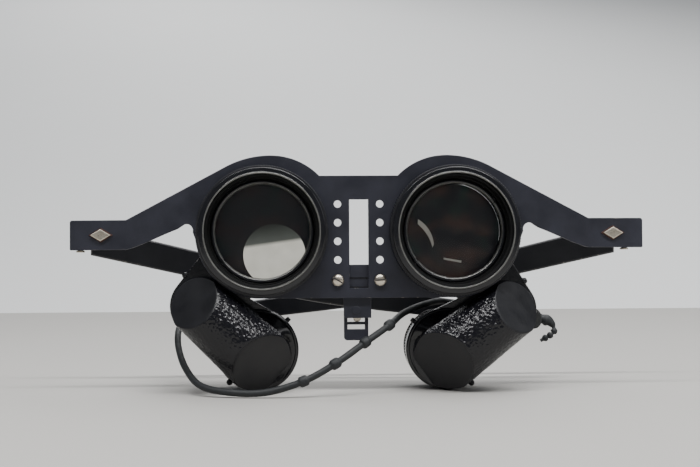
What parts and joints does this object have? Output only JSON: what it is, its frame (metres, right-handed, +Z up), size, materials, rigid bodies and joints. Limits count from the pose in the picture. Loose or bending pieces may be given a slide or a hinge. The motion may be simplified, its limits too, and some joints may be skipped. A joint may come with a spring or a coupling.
{
  "type": "head visor magnifier",
  "caption": "Spectacle-style head magnifier: two prism telescopes on a black sheet-metal front, with folding temples, focusing eyepieces and a beaded rubber head strap.",
  "frame": {"origin": "on the surface it stands on, under the middle of the object's box, with the head strap left out", "axes": "+Z up, -Y out of the objective lenses, +X to the right as seen from the objective side"},
  "size_m": [0.1952, 0.0704, 0.0764],
  "materials": {
    "satin_sheet": "satin black enamel on sheet",
    "gloss_enamel": "gloss black enamel",
    "crinkle_enamel": "crinkle black enamel",
    "nickel": "worn nickel plate",
    "dark_steel": "blackened steel",
    "optical_glass": "polished glass",
    "bakelite": "polished bakelite",
    "temple_strip": "satin black enamel on spring strip",
    "strap_rubber": "aged grey-green rubber"
  },
  "bodies": {
    "frame": {"front_plate": "satin_sheet", "nose_bracket": "satin_sheet", "nose_tab": "satin_sheet", "tab_rivet": "dark_steel", "bracket_screw_left": "nickel", "bracket_nut_left": "nickel", "hinge_bracket_left": "satin_sheet", "hinge_pin_left": "nickel", "shield_rivet_left": "nickel", "bracket_screw_right": "nickel", "bracket_nut_right": "nickel", "hinge_bracket_right": "satin_sheet", "hinge_pin_right": "nickel", "shield_rivet_right": "nickel", "strap_outer": "strap_rubber", "strap_inner": "strap_rubber"},
    "left_monocular": {"left_clamp_ring": "gloss_enamel", "left_objective_ring": "gloss_enamel", "left_objective_barrel": "gloss_enamel", "left_retaining_ring": "gloss_enamel", "left_objective_lens": "optical_glass", "left_prism_shelf": "gloss_enamel", "left_front_cover": "crinkle_enamel", "left_rear_cover": "crinkle_enamel", "left_front_prism": "optical_glass", "left_rear_prism": "optical_glass", "left_cover_screw_upper": "nickel", "left_cover_screw_lower": "nickel", "left_eyepiece_sleeve": "gloss_enamel"},
    "left_focus": {"left_focus_ring": "gloss_enamel", "left_set_pin": "dark_steel"},
    "left_ocular": {"left_ocular_tube": "gloss_enamel", "left_eye_lens": "optical_glass", "left_eyecup": "bakelite"},
    "left_temple": {"left_temple": "temple_strip", "left_temple_tip": "strap_rubber", "strap_tail": "strap_rubber"},
    "right_monocular": {"right_clamp_ring": "gloss_enamel", "right_objective_ring": "gloss_enamel", "right_objective_barrel": "gloss_enamel", "right_retaining_ring": "gloss_enamel", "right_objective_lens": "optical_glass", "right_prism_shelf": "gloss_enamel", "right_front_cover": "crinkle_enamel", "right_rear_cover": "crinkle_enamel", "right_front_prism": "optical_glass", "right_rear_prism": "optical_glass", "right_cover_screw_upper": "nickel", "right_cover_screw_lower": "nickel", "right_eyepiece_sleeve": "gloss_enamel"},
    "right_focus": {"right_focus_ring": "gloss_enamel", "right_set_pin": "dark_steel"},
    "right_ocular": {"right_ocular_tube": "gloss_enamel", "right_eye_lens": "optical_glass", "right_eyecup": "bakelite"},
    "right_temple": {"right_temple": "temple_strip", "right_temple_tip": "strap_rubber"}
  },
  "joints": [
    {"name": "left_swivel", "type": "hinge", "parent": "frame", "child": "left_monocular", "pos_m": [-0.031, -0.02308, 0.05195], "axis": [0, 1, 0], "range_deg": [-7.9, 2.1]},
    {"name": "right_swivel", "type": "hinge", "parent": "frame", "child": "right_monocular", "pos_m": [0.031, -0.02308, 0.05195], "axis": [0, 1, 0], "range_deg": [-7.9, 2.1]},
    {"name": "left_focus_turn", "type": "hinge", "parent": "left_monocular", "child": "left_focus", "pos_m": [-0.03295, -0.02308, 0.0134], "axis": [0, 1, 0], "range_deg": [-65, 110]},
    {"name": "left_ocular_slide", "type": "slide", "parent": "left_monocular", "child": "left_ocular", "axis": [0, 1, 0], "range_m": [-0.00065, 0.0011]},
    {"name": "right_focus_turn", "type": "hinge", "parent": "right_monocular", "child": "right_focus", "pos_m": [0.02905, -0.02308, 0.0134], "axis": [0, 1, 0], "range_deg": [-110, 65]},
    {"name": "right_ocular_slide", "type": "slide", "parent": "right_monocular", "child": "right_ocular", "axis": [0, 1, 0], "range_m": [-0.0011, 0.00065]},
    {"name": "left_temple_hinge", "type": "hinge", "parent": "frame", "child": "left_temple", "pos_m": [-0.095, 0.01142, 0.05195], "axis": [0, 0, 1], "range_deg": [0, 92]},
    {"name": "right_temple_hinge", "type": "hinge", "parent": "frame", "child": "right_temple", "pos_m": [0.095, 0.01142, 0.05195], "axis": [0, 0, -1], "range_deg": [0, 85.5]}
  ],
  "couplings": [
    {"joint": "left_ocular_slide", "follows": "left_focus_turn", "m_per_rad": 0.00057},
    {"joint": "right_ocular_slide", "follows": "right_focus_turn", "m_per_rad": 0.00057}
  ]
}
